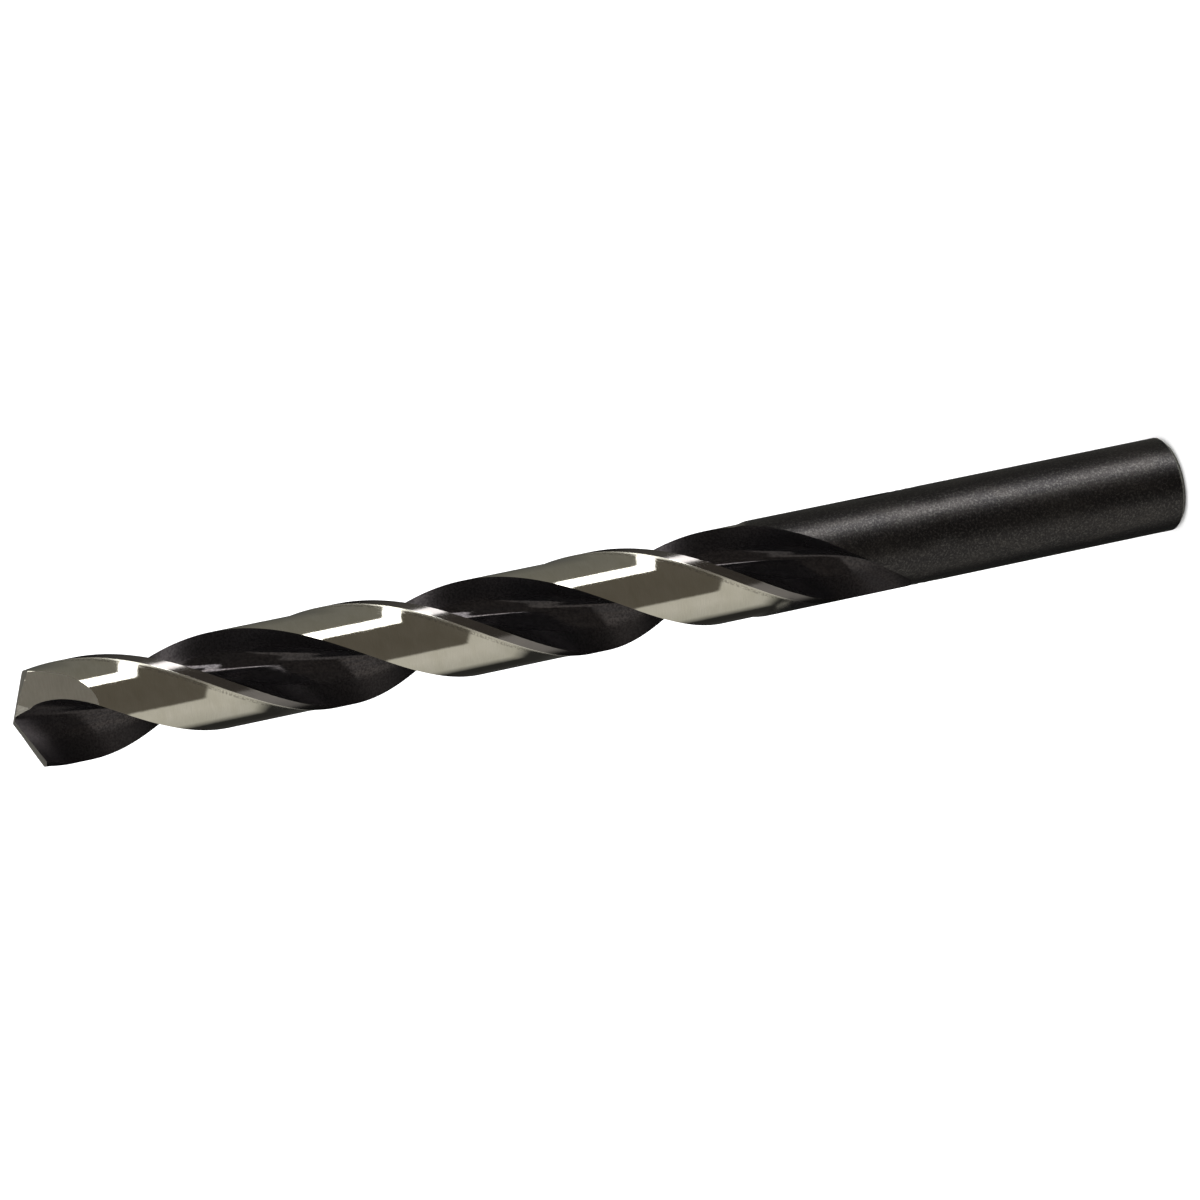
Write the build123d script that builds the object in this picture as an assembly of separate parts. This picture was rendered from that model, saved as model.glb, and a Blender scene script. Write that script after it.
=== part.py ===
from build123d import *
import math
import os

# Twist drill bit: two right-hand flutes, straight round shank, 135 degree split point.
# Frame: axis along +Z, point up, origin at the centre of the flat shank end.
# All lengths in millimetres, all angles in degrees.

# ---- driving dimensions -------------------------------------------------
diameter = 11.91            # cutting diameter over the margins (15/32 in)
shank_diameter = 11.73      # plain shank
overall_length = 146.05     # shank end to the point (5 3/4 in)
cleared_from_point = 91.6   # ground lands end here, measured from the point
flute_from_point = 109.6    # flutes have run out here, measured from the point
lead = 62.99                # axial advance of one flute turn
clearance_diameter = 11.32  # body clearance behind the margins
shank_chamfer = 0.67        # chamfer on the shank end
shank_chamfer_len = 0.60
plain_shank_end = 35.5      # the gripped cylinder ends here, below the flutes
neck_top_diameter = 11.75   # the neck has the body's slight back taper

point_angle = 135.0         # included angle of the lips
web_at_point = 1.85         # web thickness at the point
web_at_runout = 2.60        # web thickness where the cutter starts to lift
cutter_radius = 22.0        # radius on which the flutes run out

margin_rear = 0.0           # section angles, counted from the rear of a margin
margin_lead = 12.1          # leading edge, also the trailing wall of the flute
ramp_foot = -18.6           # foot of the ground ramp that climbs to the margin
heel_at_point = -70.3       # heel of the land at the point
heel_per_mm = -0.1595       # the land widens towards the shank

phase_at_point = 33.52      # where margin 1 starts at the level of the point

# point grind: two cones, one for each flank
grind_cone_half = 38.0      # half angle of the grinding cone
grind_apex_dist = 2.60      # apex distance along the lip, in drill radii
grind_skew = 0.06           # sideways offset of the cone apex, in drill radii

# split point: one notch behind each lip, with a sloping floor and a steep wall
notch_floor_dir = -90.0     # direction in which the floor of notch 1 falls away
notch_floor_slope = 58.3    # slope of the floor below level
notch_wall_slope = 71.0     # slope of the steep wall, which continues the lip inwards

# ---- derived ------------------------------------------------------------
R = diameter / 2
RS = shank_diameter / 2
RC = clearance_diameter / 2
KAPPA = math.radians(point_angle / 2)
TURN = 360.0 / lead                      # degrees per millimetre
z_ground_end = overall_length - cleared_from_point
z_flute_end = overall_length - flute_from_point


def pol(r, deg):
    a = math.radians(deg)
    return (r * math.cos(a), r * math.sin(a))


def half_web(z):
    """Half of the web thickness at height z: it thickens towards the shank."""
    z_lift = z_flute_end + runout_length
    f = (overall_length - z) / (overall_length - z_lift)
    f = min(max(f, 0.0), 1.0)
    return (web_at_point + (web_at_runout - web_at_point) * f) / 2


# the cutter leaves the blank when it has risen by the depth of the flute
depth_at_runout = RS - web_at_runout / 2
runout_length = math.sqrt(cutter_radius ** 2 - (cutter_radius - depth_at_runout) ** 2)


def lift(z):
    """How far the cutter has risen from full depth at height z."""
    z_lift = z_flute_end + runout_length
    if z >= z_lift:
        return 0.0
    d = z_lift - z
    return cutter_radius - math.sqrt(cutter_radius ** 2 - d ** 2)


def rake_angle_at(r, t):
    """Section angle of the trailing flute wall that gives a straight lip."""
    x = math.sqrt(max(r * r - t * t, 0.0))
    return math.degrees(math.asin(min(1.0, t / r))) + TURN * x / math.tan(KAPPA)


def flute_shape(z):
    """Trailing wall, foot direction and half web at height z.

    The wall is a list of points from the margin inwards, square to the radius
    where it meets the web. From the web the bottom turns out to a nearly
    radial wall that ends at the heel of the next land.
    """
    t = half_web(z)
    ref = rake_angle_at(R, t) - margin_lead
    radii = [t + (R - t) * f for f in (1.0, 0.86, 0.72, 0.58, 0.44, 0.31, 0.19, 0.09, 0.025)]
    wall = [pol(r, rake_angle_at(r, t) - ref) for r in radii]
    web_dir = rake_angle_at(t, t) - ref
    wall.append(pol(t, web_dir))
    return wall, web_dir, t


def heel_at(z):
    return heel_at_point + heel_per_mm * (overall_length - z)


WALL_PARAMS = [0.0, 0.14, 0.28, 0.42, 0.56, 0.69, 0.80, 0.89, 0.95, 1.0]
# heel side of a flute: share of the depth from web to heel, and angle from the
# heel as a share of the angle between the heel and the web direction
BOTTOM_SHAPE = [(0.0, -1.0), (0.018, -0.62), (0.06, -0.33), (0.12, -0.10), (0.20, 0.10),
                (0.30, 0.17), (0.42, 0.155), (0.55, 0.115), (0.68, 0.07), (0.84, 0.025), (1.0, 0.0)]
BOTTOM_PARAMS = [0.0, 0.06, 0.12, 0.19, 0.27, 0.36, 0.47, 0.59, 0.71, 0.86, 1.0]


def turned(p, deg):
    w = math.radians(deg)
    return (p[0] * math.cos(w) - p[1] * math.sin(w),
            p[0] * math.sin(w) + p[1] * math.cos(w))


def spline(points, tangents=None, params=None):
    if params is None:
        params = [i / (len(points) - 1) for i in range(len(points))]
    return Edge.make_spline([Vector(p[0], p[1], 0) for p in points],
                            tangents=[Vector(q[0], q[1], 0) for q in tangents] if tangents else None,
                            parameters=params)


def arc_points(cx, cy, r, a0, a1, n):
    return [(cx + r * math.cos(math.radians(a0 + (a1 - a0) * i / n)),
             cy + r * math.sin(math.radians(a0 + (a1 - a0) * i / n))) for i in range(n + 1)]


def bottom_points(z, overrun=0.0):
    """Flute bottom from the web out to the heel, in the section frame.

    With an overrun the last point moves out along the heel wall."""
    wall, web_dir, t = flute_shape(z)
    heel_dir = 180.0 + heel_at(z)
    span = heel_dir - web_dir
    pts = [pol(t + (RC - t) * f, heel_dir + span * g) for f, g in BOTTOM_SHAPE]
    if overrun:
        pts[-1] = pol(RC + overrun, heel_dir - 0.2 * overrun)
    return pts


def body_wire(z):
    """Whole section of the fluted body: two lands, two flutes."""
    edges = []
    n_clr = 5
    for half in (0, 180):
        wall, web_dir, t = flute_shape(z)
        bottom = bottom_points(z)
        cleared = arc_points(0, 0, RC, 180.0 + heel_at(z), 180.0 + ramp_foot, 6)
        ramp = [cleared[-1], pol(R, 180.0 + margin_rear)]
        margin = arc_points(0, 0, R, 180.0 + margin_rear, 180.0 + margin_lead, 3)
        cleared[0] = bottom[-1]
        r = lambda pts: [turned(p, half) for p in pts]
        edges += [
            spline(r(wall), params=WALL_PARAMS),
            spline(r(bottom), params=BOTTOM_PARAMS),
            spline(r(cleared)),
            Edge.make_line(Vector(*r(ramp)[0], 0), Vector(*r(ramp)[1], 0)),
            spline(r(margin)),
        ]
    wire = Wire(edges)
    turn = phase_at_point - TURN * (overall_length - z)
    return wire.moved(Location((0, 0, z), (0, 0, turn)))


def void_wire(z):
    """Closed outline of one flute's void at height z, for the run-out."""
    wall, web_dir, t = flute_shape(z)
    out = 1.9 * R
    dx, dy = pol(lift(z), web_dir)
    sh = lambda pts: [(p[0] + dx, p[1] + dy) for p in pts]
    bottom = bottom_points(z, 0.6)
    lead_dir = math.degrees(math.atan2(wall[0][1], wall[0][0]))
    heel_dir = math.degrees(math.atan2(bottom[-1][1], bottom[-1][0]))
    w, bt = sh(wall), sh(bottom)
    a, b = sh([pol(out, lead_dir), pol(out, heel_dir)])
    line = lambda p, q: Edge.make_line(Vector(*p, 0), Vector(*q, 0))
    wire = Wire([line(a, w[0]), spline(w, params=WALL_PARAMS), spline(bt, params=BOTTOM_PARAMS),
                 line(bt[-1], b), line(b, a)])
    turn = phase_at_point - TURN * (overall_length - z)
    return wire.moved(Location((0, 0, z), (0, 0, turn)))


# ---- fluted body with its ground lands -----------------------------------
step = 14.0 / TURN                        # one section for every 14 degrees
z_top = overall_length + 0.5
count = int(math.ceil((z_top - z_ground_end) / step)) + 1
stations = [z_ground_end + (z_top - z_ground_end) * i / (count - 1) for i in range(count)]
fluted = Solid.make_loft([body_wire(z) for z in stations], ruled=False)

# ---- shank with the flute run-outs ---------------------------------------
shank = Cylinder(RS, plain_shank_end, align=(Align.CENTER, Align.CENTER, Align.MIN))
neck = Pos(0, 0, plain_shank_end) * Cone(RS, neck_top_diameter / 2, z_ground_end - plain_shank_end,
                                         align=(Align.CENTER, Align.CENTER, Align.MIN))
end_trim = Cylinder(RS + 1, shank_chamfer_len, align=(Align.CENTER, Align.CENTER, Align.MIN)) - \
    Cone(RS - shank_chamfer, RS, shank_chamfer_len, align=(Align.CENTER, Align.CENTER, Align.MIN))
shank = shank - end_trim
z_low = z_flute_end - 0.8
z_high = z_ground_end + 0.0
n_run = 12
run_stations = [z_low + (z_high - z_low) * i / (n_run - 1) for i in range(n_run)]
void = Solid.make_loft([void_wire(z) for z in run_stations], ruled=False)
for turn in (0, 180):
    neck = neck - void.rotate(Axis.Z, turn)

drill = shank + neck + fluted

# ---- point --------------------------------------------------------------
t0 = web_at_point / 2
lip_dir = phase_at_point + margin_lead - rake_angle_at(R, t0)
beta = point_angle / 2 - grind_cone_half          # tilt of the cone axis
d = grind_apex_dist * R
apex = (-d * math.sin(KAPPA), t0 + grind_skew * R, overall_length + d * math.cos(KAPPA))
# the lip lies beside the crest of the cone: lift the cone so that it passes
# through the inner end of the lip at full height
axis_dir = Vector(math.sin(math.radians(beta)), 0, -math.cos(math.radians(beta)))


def cone_height_at(x, y, ap):
    """Height of the upper cone surface above (x, y) for apex ap."""
    c2 = math.cos(math.radians(grind_cone_half)) ** 2
    lo, hi = ap[2] - 6 * R, ap[2]
    f = lambda z: ((x - ap[0]) * axis_dir.X + (z - ap[2]) * axis_dir.Z) ** 2 - \
        c2 * ((x - ap[0]) ** 2 + (y - ap[1]) ** 2 + (z - ap[2]) ** 2)
    for _ in range(80):
        m = (lo + hi) / 2
        if f(m) > 0:
            lo = m
        else:
            hi = m
    return lo


height_drop = overall_length - cone_height_at(0.0, 0.0, apex)
apex = (apex[0], apex[1], apex[2] + height_drop)
cone_len = 9 * R
grind = Cone(cone_len * math.tan(math.radians(grind_cone_half)), 0, cone_len,
             align=(Align.CENTER, Align.CENTER, Align.MAX))
# Cone apex at its local origin, opening along local -Z
grind = Location(apex) * (Rotation(0, -beta, 0) * grind)
slab = Pos(0, 0, overall_length - 1.6 * R) * Cylinder(
    1.2 * R, 3.0 * R, align=(Align.CENTER, Align.CENTER, Align.MIN))
waste = slab - grind
for turn in (0, 180):
    drill = drill - waste.rotate(Axis.Z, lip_dir + turn)

# ---- split point notches -------------------------------------------------
def above_plane(direction, slope, offset):
    """Everything above a plane that falls away in a direction and meets the axis
    at the level of the point, moved sideways by offset."""
    big = 8 * R
    block = Box(big, big, big, align=(Align.CENTER, Align.CENTER, Align.MIN))
    tilt = Location((offset, 0, overall_length)) * Location((0, 0, 0), (0, slope, 0))
    return (tilt * block).rotate(Axis.Z, direction)


floor = above_plane(notch_floor_dir, notch_floor_slope, 0.0)
wall_side = above_plane(lip_dir - 90.0, notch_wall_slope, t0)
notch = floor & wall_side
for turn in (0, 180):
    drill = drill - notch.rotate(Axis.Z, turn)

solids = drill.solids()
solids.sort(key=lambda s: s.volume)
drill = solids[-1]

os.makedirs("parts", exist_ok=True)
export_step(drill, "parts/drill_bit.step")
print("solids", len(solids), "volume mm3", round(drill.volume, 1),
      "box", drill.bounding_box(), "lip direction", round(lip_dir, 2),
      "runout", round(runout_length, 2))
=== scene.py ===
import bpy
import math
import numpy as np
from mathutils import Matrix, Vector
from mathutils.geometry import delaunay_2d_cdt


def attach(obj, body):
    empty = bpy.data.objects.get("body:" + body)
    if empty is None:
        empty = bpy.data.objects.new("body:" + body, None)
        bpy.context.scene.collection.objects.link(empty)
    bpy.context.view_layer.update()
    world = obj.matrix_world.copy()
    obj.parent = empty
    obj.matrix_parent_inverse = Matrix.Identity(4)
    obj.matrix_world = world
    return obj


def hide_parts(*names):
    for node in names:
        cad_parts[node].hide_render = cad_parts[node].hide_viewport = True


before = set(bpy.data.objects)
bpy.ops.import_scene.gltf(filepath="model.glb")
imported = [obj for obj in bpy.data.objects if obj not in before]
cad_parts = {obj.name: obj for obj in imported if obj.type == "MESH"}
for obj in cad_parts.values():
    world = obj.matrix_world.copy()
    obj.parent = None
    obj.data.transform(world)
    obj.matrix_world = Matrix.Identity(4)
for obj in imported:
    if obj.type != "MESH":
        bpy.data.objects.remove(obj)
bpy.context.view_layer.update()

# ------------------------------------------------------------------ camera
cam_data = bpy.data.cameras.new("camera")
cam = bpy.data.objects.new("camera", cam_data)
bpy.context.scene.collection.objects.link(cam)
cam_data.sensor_width = 36.0
cam_data.lens = 119.0815
cam_data.clip_start = 0.005
cam_data.clip_end = 20.0
fwd = Vector((0.0, 0.9595012092, -0.2817045076)).normalized()
up = Vector((0.9790817759, -0.0573176098, -0.1952269646))
up = (up - up.dot(fwd) * fwd).normalized()
right = fwd.cross(up)
m = Matrix((right, up, -fwd)).transposed().to_4x4()
m.translation = Vector((0.000101786, -0.453036894, 0.207898841))
cam.matrix_world = m
bpy.context.scene.camera = cam

# -------------------------------------------------------------- dimensions
# millimetres and degrees, the same as the CAD part's
D = 11.91
DS = 11.73
DN = 11.75
L = 146.05
FLUTED = 109.6
LEAD = 62.99
DC = 11.32
CH, CHL = 0.67, 0.60
PLAIN_END = 35.5
POINT = 135.0
WEB0, WEB1 = 1.85, 2.60
CUTTER = 22.0
M_REAR, M_LEAD = 0.0, 12.1
RAMP_FOOT = -19.8
HEEL0, HEEL_MM = -70.3, -0.1595
PHASE = 33.52
GRIND_HALF, GRIND_DIST, GRIND_SKEW = 38.0, 2.60, 0.06
NOTCH_DIR, NOTCH_SLOPE = -90.0, 58.3
NOTCH_WALL = 71.0
# the bright ground finish ends on a slant across each land, measured from the point
BRIGHT0, BRIGHT_DEG = 93.1, 0.0464
BRIGHT_SOFT = 1.1

R, RS, RC = D / 2, DS / 2, DC / 2
KAPPA = math.radians(POINT / 2)
TURN = 360.0 / LEAD
Z_END = L - FLUTED
DEPTH = RS - WEB1 / 2
RUN = math.sqrt(CUTTER ** 2 - (CUTTER - DEPTH) ** 2)
Z_LIFT = Z_END + RUN


def pol(r, deg):
    a = np.radians(deg)
    return np.stack([r * np.cos(a), r * np.sin(a)], -1)


def turned(p, deg):
    a = math.radians(deg)
    c, s = math.cos(a), math.sin(a)
    return np.stack([p[..., 0] * c - p[..., 1] * s, p[..., 0] * s + p[..., 1] * c], -1)


def half_web(z):
    f = (L - z) / (L - Z_LIFT)
    return (WEB0 + (WEB1 - WEB0) * min(max(f, 0.0), 1.0)) / 2


def lift(z):
    if z >= Z_LIFT:
        return 0.0
    return CUTTER - math.sqrt(CUTTER ** 2 - (Z_LIFT - z) ** 2)


def rake_angle(r, t):
    x = np.sqrt(np.maximum(r * r - t * t, 0.0))
    return np.degrees(np.arcsin(np.minimum(1.0, t / r))) + TURN * x / math.tan(KAPPA)


N_WALL, N_BOT, N_CLR, N_RAMP, N_MAR = 24, 44, 24, 14, 6


def heel(z):
    return HEEL0 + HEEL_MM * (L - z)


def natural_spline(u, pts, uu):
    """Natural cubic spline through pts at parameters u, evaluated at uu."""
    n = len(u)
    h = np.diff(u)
    A = np.zeros((n, n))
    rhs = np.zeros((n, pts.shape[1]))
    A[0, 0] = A[-1, -1] = 1
    for i in range(1, n - 1):
        A[i, i - 1], A[i, i], A[i, i + 1] = h[i - 1], 2 * (h[i - 1] + h[i]), h[i]
        rhs[i] = 6 * ((pts[i + 1] - pts[i]) / h[i] - (pts[i] - pts[i - 1]) / h[i - 1])
    M = np.linalg.solve(A, rhs)
    k = np.clip(np.searchsorted(u, uu) - 1, 0, n - 2)
    hk = h[k][:, None]
    t1 = (u[k + 1] - uu)[:, None]
    t0 = (uu - u[k])[:, None]
    return (M[k] * t1 ** 3 + M[k + 1] * t0 ** 3) / (6 * hk) + \
        (pts[k] / hk - M[k] * hk / 6) * t1 + (pts[k + 1] / hk - M[k + 1] * hk / 6) * t0


BOTTOM_SHAPE = np.array([(0.0, -1.0), (0.018, -0.62), (0.06, -0.33), (0.12, -0.10), (0.20, 0.10),
                         (0.30, 0.17), (0.42, 0.155), (0.55, 0.115), (0.68, 0.07),
                         (0.84, 0.025), (1.0, 0.0)])
BOTTOM_PARAMS = np.array([0.0, 0.06, 0.12, 0.19, 0.27, 0.36, 0.47, 0.59, 0.71, 0.86, 1.0])


def flute_curves(z, n_dense=300):
    """Dense trailing wall and bottom of one flute, in the section frame."""
    t = half_web(z)
    ref = rake_angle(R, t) - M_LEAD
    f = np.linspace(0, 1, n_dense) ** 2
    r = t + (R * 1.02 - t) * f[::-1]
    wall = pol(r, rake_angle(r, t) - ref)
    web_dir = float(rake_angle(np.array(t), t) - ref)
    heel_dir = 180.0 + heel(z)
    pts = pol(t + (RC - t) * BOTTOM_SHAPE[:, 0], heel_dir + (heel_dir - web_dir) * BOTTOM_SHAPE[:, 1])
    bot = natural_spline(BOTTOM_PARAMS, pts, np.linspace(0, 1, n_dense))
    out = pol(RC + np.array([0.4, 0.9, 1.6]), np.array([heel_dir] * 3))
    bot = np.vstack([bot, out])
    return wall, bot, web_dir


def cut_at_radius(curve, radius, keep_inner=True):
    """Part of a curve inside a radius. The curve starts or ends outside it."""
    rr = np.hypot(curve[:, 0], curve[:, 1])
    inside = rr < radius
    i = np.nonzero(inside)[0]
    if len(i) == 0:
        k = int(rr.argmin())
        return curve[k:k + 1]
    a, b = i[0], i[-1]
    pts = curve[a:b + 1]
    if a > 0:
        t = (radius - rr[a]) / (rr[a - 1] - rr[a])
        pts = np.vstack([curve[a] + t * (curve[a - 1] - curve[a]), pts])
    if b < len(curve) - 1:
        t = (radius - rr[b]) / (rr[b + 1] - rr[b])
        pts = np.vstack([pts, curve[b] + t * (curve[b + 1] - curve[b])])
    return pts


def resample(curve, n, bias=None):
    if len(curve) == 1:
        return np.repeat(curve, n + 1, 0)
    d = np.r_[0, np.cumsum(np.hypot(*np.diff(curve, axis=0).T))]
    if d[-1] < 1e-9:
        return np.repeat(curve[:1], n + 1, 0)
    u = np.linspace(0, 1, n + 1)
    if bias is not None:
        u = bias(u)
    return np.stack([np.interp(u * d[-1], d, curve[:, k]) for k in (0, 1)], -1)


def arc(r, a0, a1, n):
    return pol(r, np.linspace(a0, a1, n + 1))


def bright_w(deg, z):
    """1 on the bright ground part, 0 on the shank part, soft along the slant."""
    zb = L - (BRIGHT0 + BRIGHT_DEG * deg)
    u = np.clip((z - zb) / BRIGHT_SOFT + 0.5, 0, 1)
    return u * u * (3 - 2 * u)


def neck_radius(z):
    if z <= PLAIN_END:
        return RS
    return RS + (DN / 2 - RS) * min((z - PLAIN_END) / (L - 91.6 - PLAIN_END), 1.0)


def section(z):
    """Half of the perimeter at height z, anticlockwise from the leading edge, not yet turned."""
    wall, bot, web_dir = flute_curves(z)
    up = lift(z)
    if up > 0:
        sh = pol(up, web_dir)
        wall, bot = wall + sh, bot + sh
    rn = neck_radius(z)
    wl, wh = float(bright_w(M_LEAD, z)), float(bright_w(heel(z), z))
    r_lead, r_heel = rn + (R - rn) * wl, rn + (RC - rn) * wh
    w = cut_at_radius(wall, r_lead)
    b = cut_at_radius(bot, r_heel)
    w = resample(w, N_WALL, lambda u: u + 0.10 * np.sin(math.pi * u))
    b = resample(b, N_BOT)
    a0 = math.degrees(math.atan2(b[-1][1], b[-1][0]))
    a1 = math.degrees(math.atan2(w[0][1], w[0][0])) + 180.0
    n = N_CLR + N_RAMP + N_MAR
    even = np.linspace(a0, a1, n + 1)
    zb = L - BRIGHT0
    g = min(max((zb - 1.5 - z) / 3.0, 0.0), 1.0)
    if g < 1:
        parts = np.r_[np.linspace(a0, 180 + RAMP_FOOT, N_CLR + 1)[:-1],
                      np.linspace(180 + RAMP_FOOT, 180 + M_REAR, N_RAMP + 1)[:-1],
                      np.linspace(180 + M_REAR, a1, N_MAR + 1)]
        ang = parts * (1 - g) + even * g
        # the ground ramp is hollow: it steepens up to the margin
        f = np.clip((ang - 180 - RAMP_FOOT) / (M_REAR - RAMP_FOOT), 0, 1) ** 2
        rad = RC + (R - RC) * f
        k = bright_w(ang - 180, z)
        rad = rn + (rad - rn) * k
    else:
        ang, rad = even, np.full(n + 1, rn)
    c = pol(rad, ang)
    c[0] = b[-1]
    c[-1] = turned(w[0], 180)
    return np.vstack([w[:-1], b[:-1], c[:-1]])


HALF_N = N_WALL + N_BOT + N_CLR + N_RAMP + N_MAR
FULL_N = 2 * HALF_N


def ring(z):
    h = section(z)
    full = np.vstack([h, turned(h, 180)])
    return full


def spun(p, z):
    """Turns a section's points to their place at height z (arrays allowed)."""
    a = np.radians(PHASE - TURN * (L - z))
    c, s = np.cos(a), np.sin(a)
    return np.stack([p[..., 0] * c - p[..., 1] * s, p[..., 0] * s + p[..., 1] * c], -1)


# ------------------------------------------------------------- point grind
LIP_DIR = PHASE + M_LEAD - float(rake_angle(np.array(R), WEB0 / 2))
BETA = math.radians(POINT / 2 - GRIND_HALF)
_d = GRIND_DIST * R
APEX = np.array([-_d * math.sin(KAPPA), WEB0 / 2 + GRIND_SKEW * R, L + _d * math.cos(KAPPA)])
_ax = np.array([math.sin(BETA), 0.0, -math.cos(BETA)])
_c2 = math.cos(math.radians(GRIND_HALF)) ** 2


def cone_z(x, y, apex):
    """Upper surface of the grinding cone above (x, y)."""
    dx, dy = x - apex[0], y - apex[1]
    # ((dx,dy,dz).ax)^2 = c2 |(dx,dy,dz)|^2, solved for dz < 0 with the axis pointing down
    a = _ax[2] ** 2 - _c2
    b = 2 * dx * _ax[0] * _ax[2]
    c = (dx * _ax[0]) ** 2 - _c2 * (dx * dx + dy * dy)
    disc = np.sqrt(np.maximum(b * b - 4 * a * c, 0))
    r1, r2 = (-b + disc) / (2 * a), (-b - disc) / (2 * a)
    hi = np.maximum(r1, r2)
    lo = np.minimum(r1, r2)
    # the sheet that opens downwards: the dot product with the axis is positive
    ok = dx * _ax[0] + hi * _ax[2] > 0
    return apex[2] + np.where(ok, hi, lo)


APEX[2] += L - float(cone_z(0.0, 0.0, APEX))


SURF = ("cone", "cone", "floor", "wall", "floor", "wall")


def flank_z(x, y):
    """Height of the ground point above (x, y) and which surface is the top one."""
    P = np.stack([np.asarray(x, float), np.asarray(y, float)], -1)
    zs = []
    for t in (0, 180):
        p = turned(P, -(LIP_DIR + t))
        zs.append(cone_z(p[..., 0], p[..., 1], APEX))
    for t in (0, 180):
        p = turned(P, -(NOTCH_DIR + t))
        floor = L - math.tan(math.radians(NOTCH_SLOPE)) * p[..., 0]
        p = turned(P, -(LIP_DIR - 90 + t))
        wall = L - math.tan(math.radians(NOTCH_WALL)) * (p[..., 0] - WEB0 / 2)
        zs += [floor, wall]
    zs = np.array(zs)
    top1 = np.maximum(zs[2], zs[3])
    top2 = np.maximum(zs[4], zs[5])
    cand = np.array([zs[0], zs[1], top1, top2])
    k = cand.argmin(0)
    which = np.where(k < 2, k, np.where(k == 2, np.where(zs[2] >= zs[3], 2, 3), np.where(zs[4] >= zs[5], 4, 5)))
    return cand.min(0), which


# ------------------------------------------------------------------- mesh
verts, faces, mats = [], [], []
edges_sharp = set()
M_BLACK, M_LAND, M_MARGIN, M_FLANK, M_SHANK, M_END, M_NOTCH = range(7)


def add_ring(p3):
    i = len(verts)
    verts.extend(map(tuple, p3))
    return np.arange(i, i + len(p3))


def strip(lo_ids, hi_ids, mat_of):
    n = len(lo_ids)
    for j in range(n):
        k = (j + 1) % n
        q = [lo_ids[j], lo_ids[k], hi_ids[k], hi_ids[j]]
        q = [q[i] for i in range(4) if q[i] != q[i - 1]]
        if len(q) < 3:
            continue
        faces.append(tuple(int(v) for v in q))
        mats.append(mat_of(j))


def zone(j):
    j %= HALF_N
    if j < N_WALL + N_BOT:
        return M_BLACK
    if j < N_WALL + N_BOT + N_CLR + N_RAMP:
        return M_LAND
    return M_MARGIN


def zone_shank(j):
    j %= HALF_N
    return M_BLACK if j < N_WALL + N_BOT else M_SHANK


CREASES = [h + c for h in (0, HALF_N) for c in
           (0, N_WALL + N_BOT, N_WALL + N_BOT + N_CLR + N_RAMP)]

# fluted body and run-out, from the end of the flutes up to the point
z_tip_low = L - 10.5
u = np.linspace(0, 1, 80)[1:]
zs = list(Z_END + (Z_LIFT + 1 - Z_END) * u ** 1.6)
zs += list(np.arange(zs[-1] + 0.32, z_tip_low - 0.1, 0.32)) + [z_tip_low]
rings = []
for z in [Z_END + 1e-4] + zs:
    p = spun(ring(z), z)
    rings.append(np.column_stack([p, np.full(len(p), z)]))
# the last stretch: each line of the perimeter runs on along the helix until it
# meets the ground point
n_lv = 40
levels = np.linspace(z_tip_low, L + 0.5, n_lv)
level_table = np.stack([ring(z) for z in levels])          # level, point, xy


def perim_at(z_arr):
    """Perimeter points where every point has a height of its own."""
    f = (z_arr - levels[0]) / (levels[1] - levels[0])
    i = np.clip(f.astype(int), 0, n_lv - 2)
    w = (f - i)[:, None]
    idx = np.arange(FULL_N)
    return level_table[i, idx] * (1 - w) + level_table[i + 1, idx] * w


# first crossing on the way up, so that nothing stands above the ground faces
scan = np.linspace(z_tip_low, L + 0.4, 240)
above_at = []
for zz in scan:
    za = np.full(FULL_N, zz)
    p = spun(perim_at(za), za)
    above_at.append(zz > flank_z(p[:, 0], p[:, 1])[0])
first = np.array(above_at).argmax(0)
lo = scan[np.maximum(first - 1, 0)]
hi = scan[first]
for _ in range(40):
    mid = (lo + hi) / 2
    p = spun(perim_at(mid), mid)
    above = mid > flank_z(p[:, 0], p[:, 1])[0]
    hi = np.where(above, mid, hi)
    lo = np.where(above, lo, mid)
tops = (lo + hi) / 2
N_TIP = 36
for i in range(1, N_TIP + 1):
    za = z_tip_low + (tops - z_tip_low) * i / N_TIP
    p = spun(perim_at(za), za)
    rings.append(np.column_stack([p, za]))
ids = [add_ring(r) for r in rings]
for a, b in zip(ids[:-1], ids[1:]):
    strip(a, b, zone)
for c in CREASES:
    for a, b in zip(ids[:-1], ids[1:]):
        edges_sharp.add((int(min(a[c], b[c])), int(max(a[c], b[c]))))
tip_ring = ids[-1]
for j in range(FULL_N):
    k = (j + 1) % FULL_N
    a, b = int(tip_ring[j]), int(tip_ring[k])
    edges_sharp.add((min(a, b), max(a, b)))

# ground point: flanks, notch floors and notch walls over the outline
outline = rings[-1][:, :2]
n0 = len(outline)
pts = [Vector(p) for p in outline]
cons = [(i, (i + 1) % n0) for i in range(n0)]


def inside_poly(xy, poly):
    """Which of the points lie inside the polygon."""
    x, y = xy[:, 0][:, None], xy[:, 1][:, None]
    x1, y1 = poly[:, 0][None], poly[:, 1][None]
    x2, y2 = np.roll(poly[:, 0], -1)[None], np.roll(poly[:, 1], -1)[None]
    with np.errstate(divide="ignore", invalid="ignore"):
        hit = ((y1 > y) != (y2 > y)) & (x < (x2 - x1) * (y - y1) / (y2 - y1) + x1)
    return hit.sum(1) % 2 == 1


g = 0.13
gx = np.arange(-48, 49) * g
gy = np.arange(-55, 56) * g * 0.866
GX, GY = np.meshgrid(gx, gy)
GX = GX + 0.5 * g * (np.arange(len(gy)) % 2)[:, None]
KZ = flank_z(GX, GY)[1]
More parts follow.
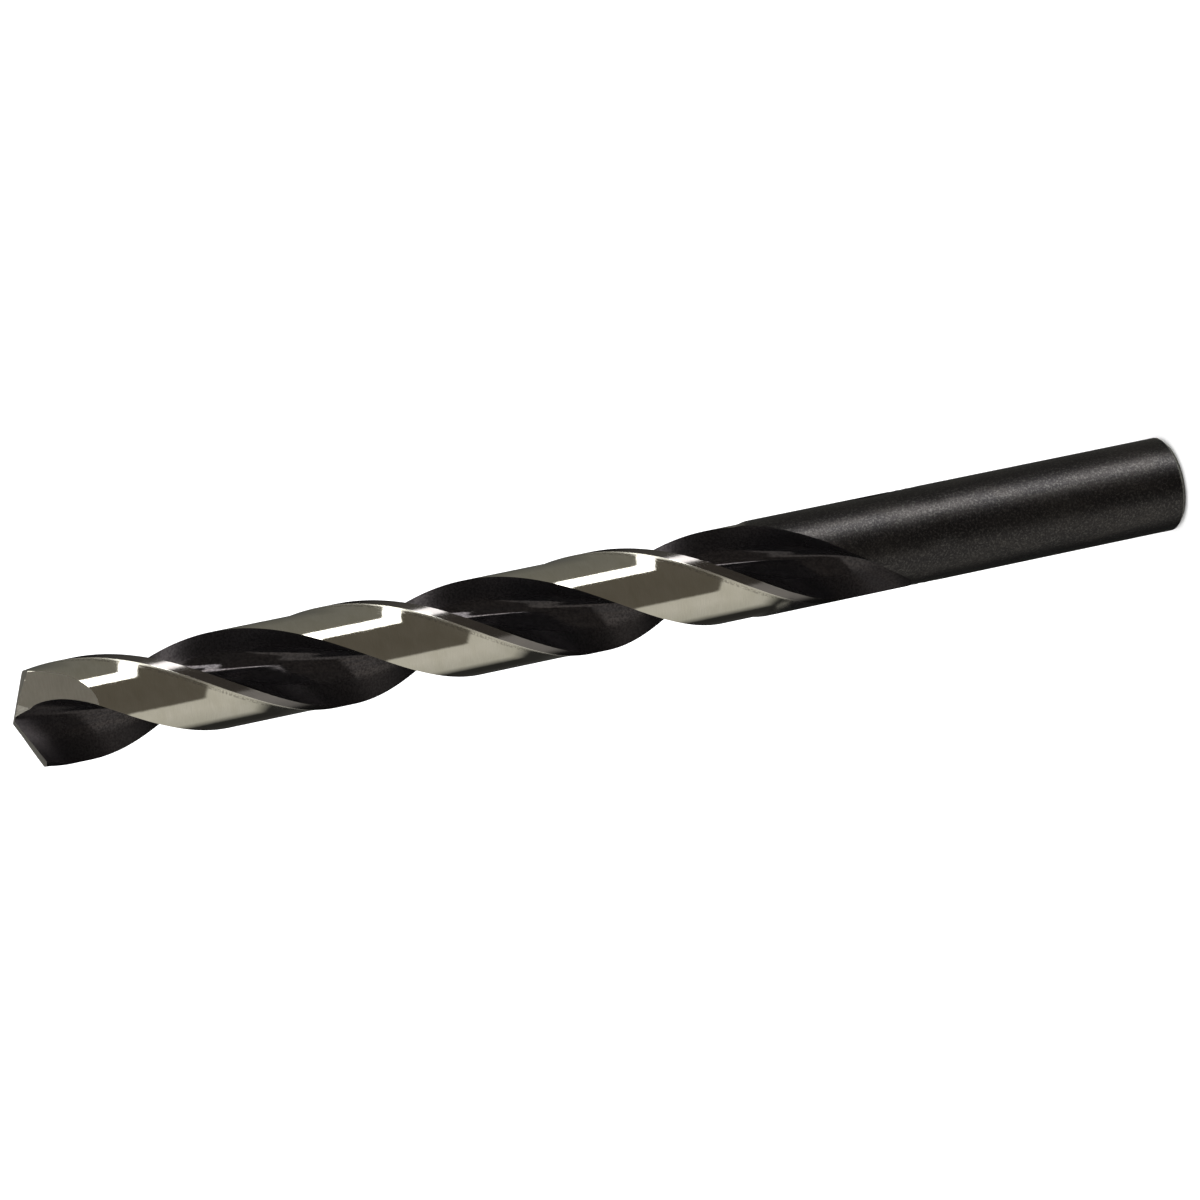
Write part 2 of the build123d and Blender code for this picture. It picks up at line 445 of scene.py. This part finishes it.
# points on the lines where two of the ground surfaces meet
crease = [(0.0, 0.0)]
for (dy_, dx_) in ((0, 1), (1, 0)):
    A = (slice(0, GX.shape[0] - dy_), slice(0, GX.shape[1] - dx_))
    B = (slice(dy_, None), slice(dx_, None))
    sel = KZ[A] != KZ[B]
    p0 = np.stack([GX[A][sel], GY[A][sel]], -1)
    p1 = np.stack([GX[B][sel], GY[B][sel]], -1)
    k0 = KZ[A][sel]
    for _ in range(24):
        mid = (p0 + p1) / 2
        same = flank_z(mid[:, 0], mid[:, 1])[1] == k0
        p0 = np.where(same[:, None], mid, p0)
        p1 = np.where(same[:, None], p1, mid)
    crease += [tuple(q) for q in (p0 + p1) / 2]
crease = np.array(crease)
keep = []
for q in crease:
    if all(math.hypot(q[0] - o[0], q[1] - o[1]) > 0.035 for o in keep[-400:]):
        keep.append(q)
crease = np.array(keep)
ok = inside_poly(crease, outline) & (np.min(np.hypot(crease[:, None, 0] - outline[None, :, 0],
                                                     crease[:, None, 1] - outline[None, :, 1]), axis=1) > 0.03)
crease = crease[ok]
grid = np.stack([GX.ravel(), GY.ravel()], -1)
grid = grid[np.hypot(grid[:, 0], grid[:, 1]) < R]
grid = grid[inside_poly(grid, outline)]
for other, gap in ((outline, 0.055), (crease, 0.05)):
    dd = np.min(np.hypot(grid[:, None, 0] - other[None, :, 0], grid[:, None, 1] - other[None, :, 1]), axis=1)
    grid = grid[dd > gap]
pts += [Vector(p) for p in crease] + [Vector(p) for p in grid]
res = delaunay_2d_cdt(pts, cons, [], 1, 1e-6)
cv, cf, orig = res[0], res[2], res[3]
cap_ids = []
for i, v in enumerate(cv):
    src = [o for o in orig[i] if o < n0]
    if src:
        cap_ids.append(int(tip_ring[src[0]]))
    else:
        z = float(flank_z(v.x, v.y)[0])
        verts.append((v.x, v.y, z))
        cap_ids.append(len(verts) - 1)
cents = np.array([np.mean([(cv[i].x, cv[i].y) for i in f], axis=0) for f in cf])
face_in = inside_poly(cents, outline)
cap_faces = {}
for f, ok_ in zip(cf, face_in):
    if not ok_:
        continue
    t = tuple(cap_ids[i] for i in f)
    p = [np.array(verts[i]) for i in t]
    nrm = np.cross(p[1] - p[0], p[2] - p[0])
    if np.linalg.norm(nrm) < 1e-12:
        continue
    nrm = nrm / np.linalg.norm(nrm)
    faces.append(t)
    cx, cy = (p[0] + p[1] + p[2])[:2] / 3
    mats.append(M_NOTCH if SURF[int(flank_z(cx, cy)[1])] == "wall" else M_FLANK)
    for i in range(3):
        e = (min(t[i], t[(i + 1) % 3]), max(t[i], t[(i + 1) % 3]))
        if e in cap_faces and abs(float(np.dot(cap_faces[e], nrm))) < 0.93:
            edges_sharp.add(e)
        cap_faces[e] = nrm

# the flutes' end ring belongs to the shank from here down
prev = ids[0]

# plain shank: the last ring's directions carried down
last = np.array([verts[i] for i in prev])[:, :2]
ang = np.unwrap(np.arctan2(last[:, 1], last[:, 0]))
even = ang[0] + np.arange(FULL_N) * (2 * math.pi / FULL_N)
even += (ang - even).mean()
for z in np.r_[Z_END - 1.2, Z_END - 2.4, Z_END - 4.0, np.linspace(Z_END - 6, CHL + 0.06, 14)]:
    f = min(1.0, (Z_END - z) / 4.0)
    a = ang * (1 - f) + even * f
    rn = neck_radius(z)
    cur = add_ring(np.column_stack([rn * np.cos(a), rn * np.sin(a), np.full(FULL_N, z)]))
    strip(cur, prev, lambda j: M_SHANK)
    prev = cur
# chamfer with softened corners, then the flat end
prof = [(RS, CHL + 0.06), (RS - 0.010, CHL + 0.02), (RS - 0.035, CHL - 0.02),
        (RS - CH + 0.05, 0.05), (RS - CH + 0.015, 0.012), (RS - CH - 0.05, 0.0)]
for r_, z in prof[1:]:
    cur = add_ring(np.column_stack([r_ * np.cos(even), r_ * np.sin(even), np.full(FULL_N, z)]))
    strip(cur, prev, lambda j: M_END)
    prev = cur
for f in (0.8, 0.6, 0.4, 0.2, 0.08):
    r_ = (RS - CH) * f
    cur = add_ring(np.column_stack([r_ * np.cos(even), r_ * np.sin(even), np.zeros(FULL_N)]))
    strip(cur, prev, lambda j: M_END)
    prev = cur
verts.append((0.0, 0.0, 0.0))
mid_id = len(verts) - 1
for j in range(FULL_N):
    faces.append((int(prev[(j + 1) % FULL_N]), int(prev[j]), mid_id))
    mats.append(M_END)

mesh = bpy.data.meshes.new("drill_skin")
V = np.array(verts) * 0.001
mesh.from_pydata([tuple(v) for v in V], [], faces)
mesh.validate()
mesh.update()
drill = bpy.data.objects.new("drill_skin", mesh)
bpy.context.scene.collection.objects.link(drill)

import bmesh
bm = bmesh.new()
bm.from_mesh(mesh)
bm.edges.ensure_lookup_table()
for e in bm.edges:
    a, b = e.verts[0].index, e.verts[1].index
    e.smooth = (min(a, b), max(a, b)) not in edges_sharp
for f in bm.faces:
    f.smooth = True
    f.material_index = mats[f.index] if f.index < len(mats) else 0
bmesh.ops.remove_doubles(bm, verts=bm.verts, dist=2e-6)
bmesh.ops.recalc_face_normals(bm, faces=bm.faces)
bm.to_mesh(mesh)
bm.free()
print("drill_skin verts", len(mesh.vertices), "faces", len(mesh.polygons))

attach(drill, "root")
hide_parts("drill_bit")


# --------------------------------------------------- surface coordinates
# "across": section angle from the rear of the margin and distance from the heel,
# "along": distance from the point and the share of bright finish
uv_a = mesh.uv_layers.new(name="place")
uv_b = mesh.uv_layers.new(name="edges")
nv = len(mesh.vertices)
co = np.empty(nv * 3)
mesh.vertices.foreach_get("co", co)
co = co.reshape(-1, 3) * 1000.0
zp = L - co[:, 2]
alpha = np.degrees(np.arctan2(co[:, 1], co[:, 0]))
phi_v = (alpha - PHASE + TURN * zp + 168.0) % 180.0 - 168.0
nl = len(mesh.loops)
vi = np.empty(nl, dtype=int)
mesh.loops.foreach_get("vertex_index", vi)
npoly = len(mesh.polygons)
mi = np.empty(npoly, dtype=int)
mesh.polygons.foreach_get("material_index", mi)
tot = np.empty(npoly, dtype=int)
mesh.polygons.foreach_get("loop_total", tot)
loop_mat = np.repeat(mi, tot)
ph = phi_v[vi]
on_land = (loop_mat == M_LAND) | (loop_mat == M_MARGIN)
ph = np.where(on_land & (ph < -150), ph + 180, ph)
in_flute = loop_mat == M_BLACK
ph = np.where(in_flute & (ph > -40), ph - 180, ph)
zl = zp[vi]
# on the shank the angle simply runs round
ph = np.where(loop_mat >= M_SHANK, alpha[vi], ph)
first = np.repeat(np.r_[0, np.cumsum(tot)[:-1]], tot)
ph = np.where((loop_mat >= M_SHANK) & (np.abs(ph - ph[first]) > 180), ph + 360 * np.sign(ph[first] - ph), ph)
heel_l = HEEL0 + HEEL_MM * zl
share = np.clip((BRIGHT0 + BRIGHT_DEG * ph - zl) / 3.2 + 0.5, 0, 1)
uv_a.data.foreach_set("uv", np.stack([ph / 100.0, zl / 10.0], -1).ravel())
uv_b.data.foreach_set("uv", np.stack([(ph - heel_l) / 100.0, share], -1).ravel())


# -------------------------------------------------------------- materials
class Nodes:
    def __init__(self, name):
        self.m = bpy.data.materials.new(name)
        self.m.use_nodes = True
        self.t = self.m.node_tree
        self.b = self.t.nodes["Principled BSDF"]

    def new(self, kind, **kw):
        n = self.t.nodes.new(kind)
        for k, v in kw.items():
            setattr(n, k, v)
        return n

    def link(self, a, b):
        self.t.links.new(a, b)

    def put(self, node_in, v):
        if isinstance(v, bpy.types.NodeSocket):
            self.link(v, node_in)
        else:
            node_in.default_value = v

    def uv(self, name):
        s_ = self.new("ShaderNodeSeparateXYZ")
        self.link(self.new("ShaderNodeUVMap", uv_map=name).outputs[0], s_.inputs[0])
        return s_.outputs[0], s_.outputs[1]

    def pos(self):
        return self.new("ShaderNodeTexCoord").outputs["Object"]

    def vec(self, x, y, z=0.0):
        c = self.new("ShaderNodeCombineXYZ")
        for i, v in enumerate((x, y, z)):
            self.put(c.inputs[i], v)
        return c.outputs[0]

    def math(self, op, a, b=None, clamp=False):
        n = self.new("ShaderNodeMath", operation=op, use_clamp=clamp)
        self.put(n.inputs[0], a)
        if b is not None:
            self.put(n.inputs[1], b)
        return n.outputs[0]

    def ramp(self, v, stops, interp="LINEAR"):
        n = self.new("ShaderNodeValToRGB")
        cr = n.color_ramp
        cr.interpolation = interp
        while len(cr.elements) < len(stops):
            cr.elements.new(0.5)
        for e, (p, c) in zip(cr.elements, sorted(stops)):
            e.position = p
            e.color = (*c, 1) if isinstance(c, tuple) else (c, c, c, 1)
        self.link(v, n.inputs[0])
        return n.outputs[0]

    def span(self, v, a, b, lo=0.0, hi=1.0, smooth=True):
        n = self.new("ShaderNodeMapRange", interpolation_type="SMOOTHSTEP" if smooth else "LINEAR")
        self.link(v, n.inputs[0])
        for i, x in enumerate((a, b, lo, hi)):
            n.inputs[i + 1].default_value = x
        return n.outputs[0]

    def noise(self, vec, scale, detail=3.0, rough=0.55, dist=0.0):
        n = self.new("ShaderNodeTexNoise")
        self.link(vec, n.inputs["Vector"])
        n.inputs["Scale"].default_value = scale
        n.inputs["Detail"].default_value = detail
        n.inputs["Roughness"].default_value = rough
        n.inputs["Distortion"].default_value = dist
        return n.outputs[0]

    def scaled(self, vec, sx, sy, sz):
        n = self.new("ShaderNodeMapping")
        self.link(vec, n.inputs[0])
        n.inputs[3].default_value = (sx, sy, sz)
        return n.outputs[0]

    def mix(self, f, a, b):
        n = self.new("ShaderNodeMix", data_type="RGBA")
        self.put(n.inputs[0], f)
        for i, v in ((6, a), (7, b)):
            if isinstance(v, tuple):
                v = (*v, 1)
            self.put(n.inputs[i], v)
        return n.outputs[2]

    def mixf(self, f, a, b):
        n = self.new("ShaderNodeMix", data_type="FLOAT")
        self.put(n.inputs[0], f)
        self.put(n.inputs[2], a)
        self.put(n.inputs[3], b)
        return n.outputs[0]

    def bump(self, height, strength, dist, normal=None):
        n = self.new("ShaderNodeBump")
        n.inputs["Strength"].default_value = strength
        n.inputs["Distance"].default_value = dist
        self.link(height, n.inputs["Height"])
        if normal is not None:
            self.link(normal, n.inputs["Normal"])
        return n.outputs[0]

    def set(self, key, v):
        self.put(self.b.inputs[key], v)


def band(N, v, a, b, soft):
    """1 between a and b, with soft edges."""
    up_ = N.span(v, a - soft, a + soft)
    dn_ = N.span(v, b - soft, b + soft, 1.0, 0.0)
    return N.math("MULTIPLY", up_, dn_)


STEEL = (0.62, 0.60, 0.545)
# pale steel for edge wear and for painted highlights along edges
STEEL_WEAR_AND_HIGHLIGHT = (0.80, 0.78, 0.72)
OXIDE = (0.036, 0.034, 0.036)
OXIDE_BROWN = (0.054, 0.050, 0.050)


def oxide_nodes(N, grain=9000.0):
    """Black oxide: brown and violet patches, fine grain."""
    p = N.pos()
    patch = N.noise(N.scaled(p, 1, 1, 0.35), 260.0, 4.0, 0.6, 0.6)
    fine = N.noise(p, grain, 2.0, 0.6)
    col = N.mix(N.span(patch, 0.38, 0.66), OXIDE, OXIDE_BROWN)
    return p, patch, fine, col


def satin(N):
    """Colour, roughness and height of the satin black shank finish."""
    p, patch, fine, ox = oxide_nodes(N, 5200.0)
    speck = N.noise(p, 3900.0, 3.0, 0.75)
    spin = N.noise(N.scaled(p, 60.0, 60.0, 9000.0), 1.0, 3.0, 0.6)
    col = N.mix(N.span(speck, 0.36, 0.50, 0.55, 0.0), ox, (0.022, 0.021, 0.022))
    col = N.mix(N.span(speck, 0.50, 0.66, 0.0, 0.8), col, (0.104, 0.101, 0.098))
    rough = N.span(fine, 0.3, 0.7, 0.32, 0.41, False)
    height = N.math("ADD", N.math("MULTIPLY", fine, 1.5), N.math("MULTIPLY", spin, 0.25))
    return col, rough, height


def make_land():
    N = Nodes("ground_land")
    u, v = N.uv("place")
    hd, share = N.uv("edges")
    p, patch, fine, ox = oxide_nodes(N)
    # lines left by the cylindrical grinder, running round the drill
    across = N.vec(u, v)
    lines = N.noise(N.scaled(across, 6.0, 190.0, 1.0), 1.0, 3.0, 0.6)
    broad = N.noise(N.scaled(across, 3.0, 4.0, 1.0), 1.3, 3.0, 0.5, 0.3)
    hatch = N.noise(N.scaled(across, 30.0, 55.0, 1.0), 1.0, 1.0, 0.5)
    # share of bright finish, worn unevenly at its end
    ragged = N.noise(N.scaled(p, 1, 1, 1), 1900.0, 3.0, 0.6)
    sh = N.math("ADD", share, N.span(ragged, 0.3, 0.7, -0.12, 0.12, False))
    sh = N.span(sh, 0.12, 0.88)
    steel = N.mix(N.span(broad, 0.3, 0.7), (0.575, 0.555, 0.49), STEEL)
    steel = N.mix(N.span(lines, 0.35, 0.75, 0.0, 0.35), steel, (0.45, 0.43, 0.38))
    # thin bright lines at the rear of the margin and along the heel; the rear line is a painted highlight where
    # the step's edge catches light, the heel line is partly edge wear and partly painted highlight
    rear_highlight = band(N, u, -0.021, 0.004, 0.004)
    prep = band(N, u, -0.060, -0.018, 0.008)
    prep_h = N.math("MULTIPLY", prep, N.span(hatch, 0.42, 0.58, 0.0, 0.75))
    steel = N.mix(prep_h, steel, (0.30, 0.28, 0.25))
    # painted highlight at the rear of the margin
    steel = N.mix(N.math("MULTIPLY", rear_highlight, 0.6), steel, (0.56, 0.54, 0.48))
    # along the heel: partly edge wear, partly a painted highlight of the rounded edge
    heel_highlight_and_wear = N.math("MULTIPLY", N.span(hd, 0.002, 0.010, 0.3, 0.0),
                    N.span(ragged, 0.40, 0.7, 0.3, 1.0))
    steel = N.mix(heel_highlight_and_wear, steel, STEEL_WEAR_AND_HIGHLIGHT)
    ox, ox_r, ox_h = satin(N)
    N.set("Base Color", N.mix(sh, ox, steel))
    N.b.inputs["Metallic"].default_value = 1.0
    N.set("Specular Tint", N.mix(sh, (0.9, 0.9, 0.9), (1.0, 1.0, 1.0)))
    r = N.mixf(rear_highlight, N.span(broad, 0.3, 0.7, 0.055, 0.085, False), 0.38)
    r = N.mixf(heel_highlight_and_wear, r, 0.20)
    r = N.mixf(prep_h, r, 0.22)
    N.set("Roughness", N.mixf(sh, ox_r, r))
    h = N.math("ADD", N.math("MULTIPLY", lines, 0.16), N.math("MULTIPLY", broad, 1.0))
    N.set("Normal", N.bump(N.mixf(sh, ox_h, h), 0.35, 0.00003))
    return N.m


def make_margin():
    N = Nodes("margin")
    u, v = N.uv("place")
    hd, share = N.uv("edges")
    p, patch, fine, ox = oxide_nodes(N)
    across = N.vec(u, v)
    rag = N.noise(p, 1900.0, 3.0, 0.6)
    # painted highlight: a thin bright line at the rear of the margin where the step's edge catches light
    rear_highlight = N.math("MULTIPLY", N.span(u, 0.001, 0.009, 1.0, 0.0), share)
    lead = N.math("MULTIPLY", N.span(u, 0.114, 0.120), N.span(rag, 0.40, 0.7, 0.0, 0.35))
    rub = N.noise(N.scaled(across, 14.0, 1.6, 1.0), 1.0, 3.0, 0.6, 0.3)
    wear = N.span(rub, 0.55, 0.75, 0.0, 0.10)
    # rub wear and leading-edge wear, together with the painted highlight at the rear
    w = N.math("MAXIMUM", N.math("MAXIMUM", wear, N.math("MULTIPLY", lead, share)), rear_highlight)
    N.set("Base Color", N.mix(w, N.mix(patch, (0.15, 0.142, 0.146), (0.25, 0.234, 0.230)), STEEL_WEAR_AND_HIGHLIGHT))
    N.b.inputs["Metallic"].default_value = 1.0
    N.set("Specular Tint", N.mix(rear_highlight, (0.3, 0.3, 0.3), (1.0, 1.0, 1.0)))
    N.set("Roughness", N.mixf(rear_highlight, N.span(fine, 0.3, 0.7, 0.12, 0.20, False), 0.32))
    N.set("Normal", N.bump(N.noise(across, 25.0, 2.0, 0.5), 0.15, 0.00003))
    return N.m


def make_flute():
    N = Nodes("flute")
    u, v = N.uv("place")
    hd, share = N.uv("edges")
    p, patch, fine, ox = oxide_nodes(N)
    # lines left by the flute grinder, running along the flute
    across = N.vec(u, v)
    lines = N.noise(N.scaled(across, 60.0, 1.2, 1.0), 1.0, 3.0, 0.6)
    soft = N.noise(N.scaled(across, 9.0, 0.9, 1.0), 1.0, 2.0, 0.5, 0.3)
    col = N.mix(N.span(soft, 0.35, 0.7, 0.0, 0.7), (0.060, 0.056, 0.059), (0.080, 0.071, 0.070))
    grit = N.noise(p, 3900.0, 3.0, 0.75)
    col = N.mix(N.span(grit, 0.38, 0.60, 0.7, 0.0), col, (0.016, 0.014, 0.016))
    # the first millimetres from the point are darker and rougher
    col = N.mix(N.span(v, 0.1, 1.1, 0.72, 0.0), col, (0.016, 0.014, 0.015))
    N.set("Base Color", col)
    N.b.inputs["Metallic"].default_value = 0.9
    N.b.inputs["Specular Tint"].default_value = (0.25, 0.25, 0.25, 1)
    # bright along the bottom; the darker colour on the outer walls is painted shade, and the walls are rougher
    sx = N.new("ShaderNodeSeparateXYZ")
    N.link(p, sx.inputs[0])
    ln = N.new("ShaderNodeVectorMath", operation="LENGTH")
    N.link(N.vec(sx.outputs[0], sx.outputs[1]), ln.inputs[0])
    wall_shade = N.span(ln.outputs["Value"], 0.0025, 0.0036)
    # painted shade: the outer walls' colour darkened
    N.set("Base Color", N.mix(N.math("MULTIPLY", wall_shade, 0.55), col, (0.014, 0.012, 0.013)))
    r = N.mixf(N.span(lines, 0.35, 0.7), 0.05, 0.10)
    r = N.mixf(wall_shade, r, 0.36)
    N.set("Roughness", N.mixf(N.span(v, 0.1, 1.1, 1.0, 0.0), r, 0.42))
    h = N.math("ADD", N.math("MULTIPLY", lines, 1.0), N.math("MULTIPLY", fine, 0.6))
    N.set("Normal", N.bump(h, 0.22, 0.00002))
    return N.m


def make_flank():
    N = Nodes("ground_point")
    p = N.pos()
    c = N.scaled(p, 1, 1, 1)
    g1 = N.noise(N.scaled(c, 900.0, 8000.0, 2000.0), 1.0, 3.0, 0.6)
    g2 = N.noise(c, 420.0, 3.0, 0.5)
    col = N.mix(N.span(g1, 0.3, 0.7), (0.45, 0.43, 0.375), (0.49, 0.47, 0.415))
    N.set("Base Color", col)
    N.b.inputs["Metallic"].default_value = 1.0
    N.set("Roughness", N.span(g2, 0.3, 0.7, 0.29, 0.33, False))
    N.set("Normal", N.bump(g1, 0.15, 0.00002))
    return N.m


def make_notch():
    # the steep wall is cut by the corner of the wheel, so it is rougher than the flanks; its darker colour is
    # painted shade in the notch
    N = Nodes("notch_wall")
    p = N.pos()
    g1 = N.noise(N.scaled(p, 3000.0, 3000.0, 700.0), 1.0, 3.0, 0.6)
    g2 = N.noise(p, 900.0, 3.0, 0.5)
    N.set("Base Color", N.mix(N.span(g1, 0.3, 0.7), (0.135, 0.128, 0.112), (0.175, 0.167, 0.147)))
    N.b.inputs["Metallic"].default_value = 1.0
    N.set("Roughness", N.span(g2, 0.3, 0.7, 0.46, 0.54, False))
    N.set("Normal", N.bump(g1, 0.2, 0.00002))
    return N.m


def make_shank():
    N = Nodes("shank")
    col, rough, height = satin(N)
    N.set("Base Color", col)
    N.set("Roughness", rough)
    N.b.inputs["Metallic"].default_value = 1.0
    N.b.inputs["Specular Tint"].default_value = (0.9, 0.9, 0.9, 1)
    N.set("Normal", N.bump(height, 0.35, 0.00003))
    return N.m


def make_end():
    N = Nodes("shank_end")
    p, patch, fine, ox = oxide_nodes(N, 5200.0)
    ringy = N.noise(N.scaled(p, 3000.0, 3000.0, 300.0), 1.0, 3.0, 0.6)
    col = N.mix(N.span(ringy, 0.3, 0.7, 0.15, 0.65), ox, (0.22, 0.22, 0.19))
    N.set("Base Color", col)
    N.b.inputs["Metallic"].default_value = 0.55
    N.set("Roughness", N.span(fine, 0.3, 0.7, 0.34, 0.46, False))
    N.set("Normal", N.bump(fine, 0.25, 0.00003))
    return N.m


for mt in (make_flute(), make_land(), make_margin(), make_flank(), make_shank(), make_end(), make_notch()):
    mesh.materials.append(mt)

# ---------------------------------------------------------------- floor
fm = bpy.data.meshes.new("floor")
fm.from_pydata([(-6, -6, 0), (6, -6, 0), (6, 6, 0), (-6, 6, 0)], [], [(0, 1, 2, 3)])
floor = bpy.data.objects.new("floor", fm)
bpy.context.scene.collection.objects.link(floor)
floor.visible_glossy = False
fmat = bpy.data.materials.new("floor_paper")
fmat.use_nodes = True
fb = fmat.node_tree.nodes["Principled BSDF"]
fb.inputs["Base Color"].default_value = (0.93, 0.93, 0.93, 1)
fb.inputs["Roughness"].default_value = 1.0
fb.inputs["Specular IOR Level"].default_value = 0.0
fm.materials.append(fmat)

# --------------------------------------------------------------- lights
# a soft tent: reflections see one bright strip, a pale side and a dim side
world = bpy.data.worlds.new("world")
bpy.context.scene.world = world
world.use_nodes = True
wt = world.node_tree
wt.nodes.clear()
wo = wt.nodes.new("ShaderNodeOutputWorld")
sep = wt.nodes.new("ShaderNodeSeparateXYZ")
wt.links.new(wt.nodes.new("ShaderNodeTexCoord").outputs["Generated"], sep.inputs[0])
neg = wt.nodes.new("ShaderNodeMath")
neg.operation = "MULTIPLY"
neg.inputs[1].default_value = -1.0
wt.links.new(sep.outputs[1], neg.inputs[0])
at = wt.nodes.new("ShaderNodeMath")
at.operation = "ARCTAN2"
wt.links.new(sep.outputs[0], at.inputs[0])
wt.links.new(neg.outputs[0], at.inputs[1])
mr = wt.nodes.new("ShaderNodeMapRange")
mr.inputs[1].default_value, mr.inputs[2].default_value = -math.pi, math.pi
wt.links.new(at.outputs[0], mr.inputs[0])
STRIP = 5.5
cr = wt.nodes.new("ShaderNodeValToRGB")
wt.links.new(mr.outputs[0], cr.inputs[0])
TENT = [(-180, (0.07, 0.07, 0.065)), (-134, (0.03, 0.03, 0.028)),
        (-116, (0.03, 0.03, 0.028)), (-97, (0.58, 0.57, 0.51)), (-60, (0.70, 0.68, 0.61)),
        (-38, (0.68, 0.66, 0.59)), (-34, (0.135, 0.121, 0.098)), (0, (0.127, 0.113, 0.091)),
        (46.5, (0.135, 0.121, 0.098)), (48, (STRIP, STRIP, STRIP * 0.97)),
        (67, (STRIP, STRIP, STRIP * 0.97)), (68.5, (0.23, 0.222, 0.19)),
        (120, (0.21, 0.205, 0.18)), (180, (0.06, 0.06, 0.055))]
els = cr.color_ramp.elements
while len(els) < len(TENT):
    els.new(0.5)
for e, (deg, c) in zip(els, TENT):
    e.position = (deg + 180) / 360.0
    e.color = (*[x / STRIP for x in c], 1)
bg_r = wt.nodes.new("ShaderNodeBackground")
bg_r.inputs[1].default_value = STRIP
wt.links.new(cr.outputs[0], bg_r.inputs[0])
bg_d = wt.nodes.new("ShaderNodeBackground")
bg_d.inputs[0].default_value = (1, 1, 1, 1)
bg_d.inputs[1].default_value = 1.75
lp = wt.nodes.new("ShaderNodeLightPath")
mx = wt.nodes.new("ShaderNodeMixShader")
wt.links.new(lp.outputs["Is Glossy Ray"], mx.inputs[0])
wt.links.new(bg_d.outputs[0], mx.inputs[1])
wt.links.new(bg_r.outputs[0], mx.inputs[2])
wt.links.new(mx.outputs[0], wo.inputs[0])
bpy.context.scene.view_settings.view_transform = "Standard"
